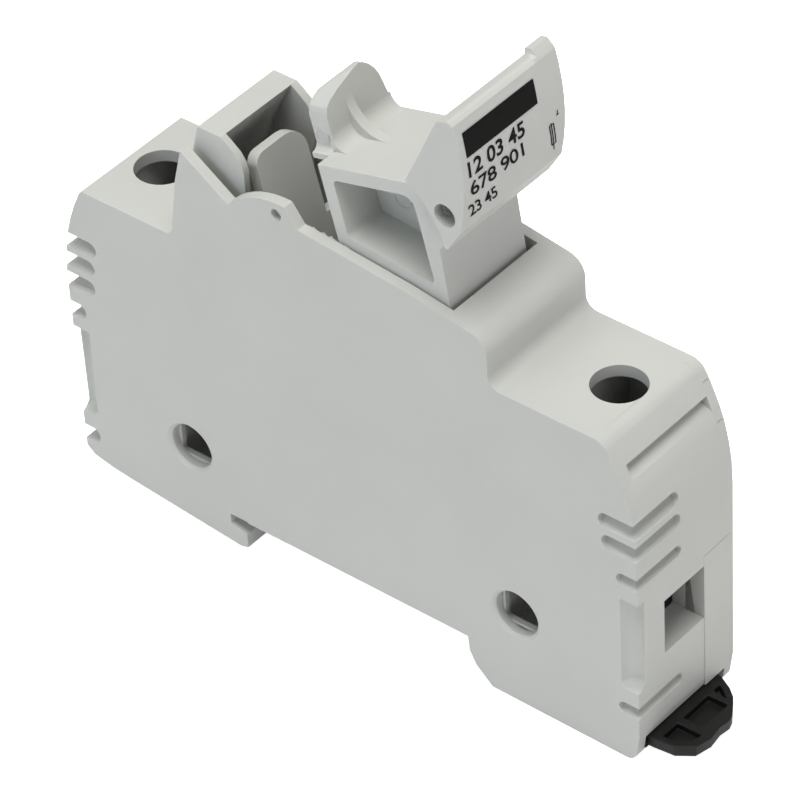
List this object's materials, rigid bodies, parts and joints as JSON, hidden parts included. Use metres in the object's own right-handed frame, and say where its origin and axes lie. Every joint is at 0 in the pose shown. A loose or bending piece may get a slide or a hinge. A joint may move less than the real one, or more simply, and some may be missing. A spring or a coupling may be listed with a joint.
{
  "type": "fuse holder",
  "caption": "Slim rail-mounted fuse holder with a swing-out carrier standing open, a screw terminal in each end and a black sliding rail clip.",
  "frame": {"origin": "centre of the recess face that rests on the mounting rail", "axes": "+X across the rail towards the end with the clip, +Y across the module away from the side with the two shown coupling holes, +Z away from the rail"},
  "size_m": [0.0884, 0.0176, 0.0796],
  "materials": {
    "housing": "fine satin",
    "carrier": "fine satin",
    "clip": "satin",
    "contact": "silver plated",
    "steel": "bright",
    "zinc": "zinc plated"
  },
  "bodies": {
    "housing": {"near_shell": "housing", "far_cover": "housing", "pivot_pin": "steel", "left_contact": "contact", "right_contact": "contact", "left_jaw_spring": "steel", "right_jaw_spring": "steel", "shell_pin_1": "steel", "shell_pin_2": "steel", "shell_pin_3": "steel", "shell_pin_4": "steel", "shell_pin_5": "steel", "shell_pin_6": "steel"},
    "carrier": {"fuse_carrier": "carrier"},
    "clip": {"rail_clip": "clip"},
    "left_screw": {"left_terminal_screw": "zinc"},
    "right_screw": {"right_terminal_screw": "zinc"},
    "left_clamp": {"left_cage": "zinc", "left_cage_nut": "zinc"},
    "right_clamp": {"right_cage": "zinc", "right_cage_nut": "zinc"}
  },
  "joints": [
    {"name": "carrier_hinge", "type": "hinge", "parent": "housing", "child": "carrier", "pos_m": [0.0082, 0, 0.0381], "axis": [0, 1, 0], "range_deg": [-76, 0]},
    {"name": "clip_slide", "type": "slide", "parent": "housing", "child": "clip", "axis": [1, 0, 0], "range_m": [-0.004, 0]},
    {"name": "left_clamp_lift", "type": "slide", "parent": "housing", "child": "left_clamp", "axis": [0, 0, 1], "range_m": [0, 0.0072]},
    {"name": "left_screw_turn", "type": "hinge", "parent": "housing", "child": "left_screw", "pos_m": [-0.0325, 0.00015, 0.03], "axis": [0, 0, -1], "range_deg": [0, 3240]},
    {"name": "right_clamp_lift", "type": "slide", "parent": "housing", "child": "right_clamp", "axis": [0, 0, 1], "range_m": [0, 0.0072]},
    {"name": "right_screw_turn", "type": "hinge", "parent": "housing", "child": "right_screw", "pos_m": [0.0334, 0.00015, 0.03], "axis": [0, 0, -1], "range_deg": [0, 3240]}
  ],
  "couplings": [
    {"joint": "left_screw_turn", "follows": "left_clamp_lift", "rad_per_m": 7853.9},
    {"joint": "right_screw_turn", "follows": "right_clamp_lift", "rad_per_m": 7853.9}
  ]
}
